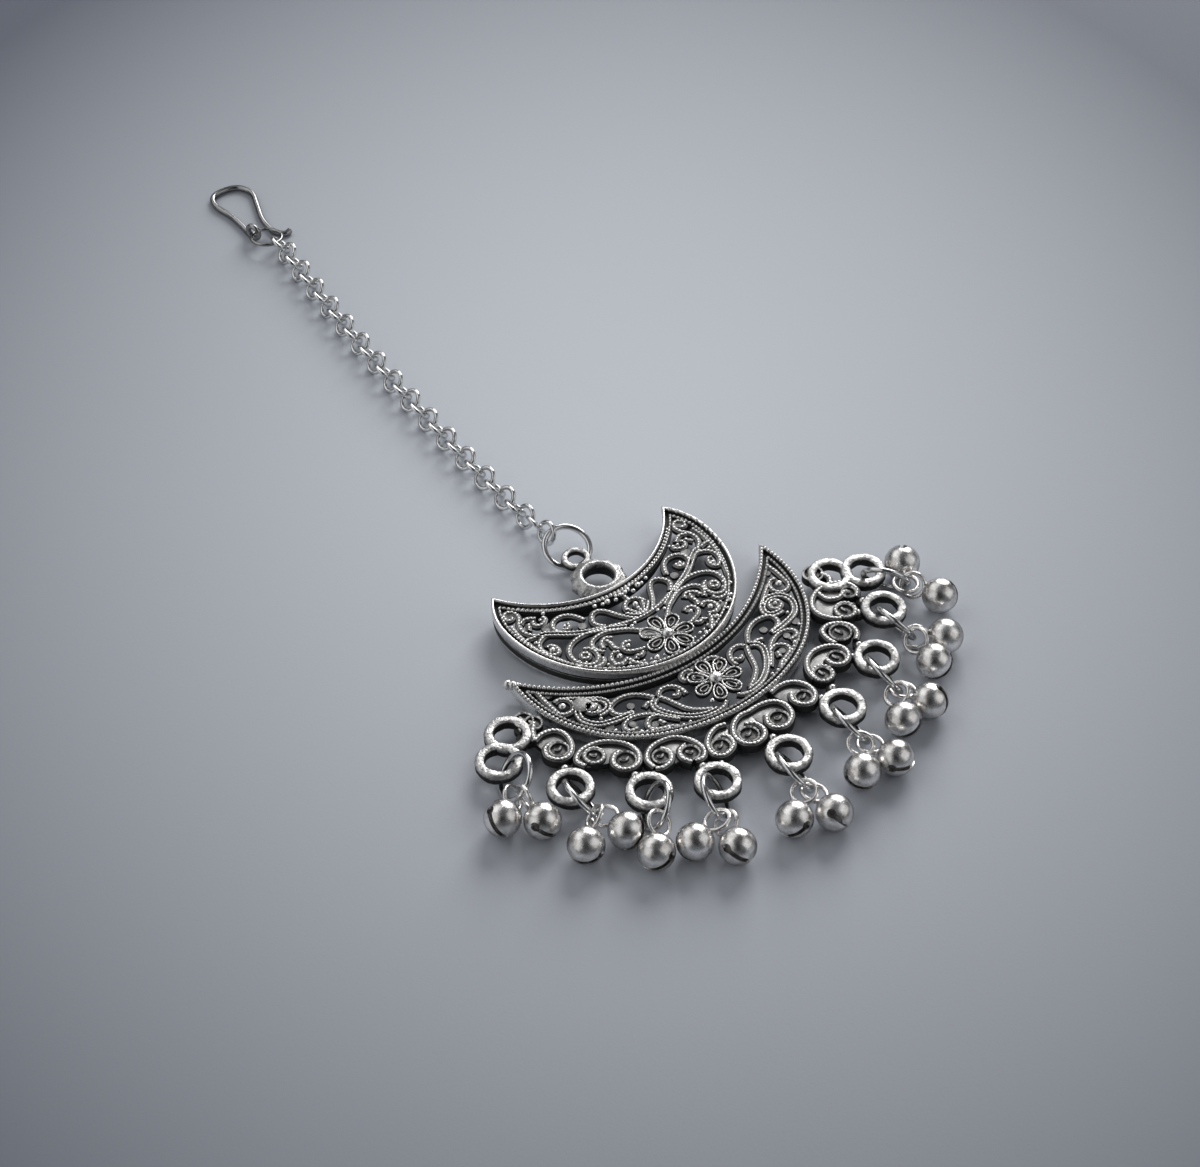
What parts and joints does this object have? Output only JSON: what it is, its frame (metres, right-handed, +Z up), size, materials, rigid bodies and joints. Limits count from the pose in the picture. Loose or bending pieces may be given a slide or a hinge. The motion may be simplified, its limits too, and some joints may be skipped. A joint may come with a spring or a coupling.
{
  "type": "maang tikka",
  "caption": "Cast silver hair ornament of two pierced crescents with a scroll border, hollow slotted bells on jump rings, a link chain and a wire hair hook.",
  "frame": {"origin": "centre of the footprint, on the surface that the ornament lies on", "axes": "+X to the right across the ornament, +Y from the bells towards the hook, +Z up from the surface, through the ornament's face"},
  "size_m": [0.0726, 0.1568, 0.0061],
  "materials": {
    "casting": "antiqued cast silver, bright on the raised edges and near black in the recesses",
    "bells": "polished silver",
    "wire": "polished silver wire"
  },
  "bodies": {
    "root": {"bell_01": "bells", "bell_02": "bells", "bell_03": "bells", "bell_04": "bells", "bell_05": "bells", "bell_06": "bells", "bell_07": "bells", "bell_08": "bells", "bell_09": "bells", "bell_10": "bells", "bell_11": "bells", "bell_12": "bells", "bell_13": "bells", "bell_14": "bells", "bell_15": "bells", "bell_16": "bells", "bell_17": "bells", "cast_pendant": "casting", "chain": "wire", "hook": "wire", "hook_ring": "wire", "jump_ring_01": "wire", "jump_ring_02": "wire", "jump_ring_03": "wire", "jump_ring_04": "wire", "jump_ring_05": "wire", "jump_ring_06": "wire", "jump_ring_07": "wire", "jump_ring_08": "wire", "jump_ring_09": "wire", "top_jump_ring": "wire"}
  },
  "joints": []
}
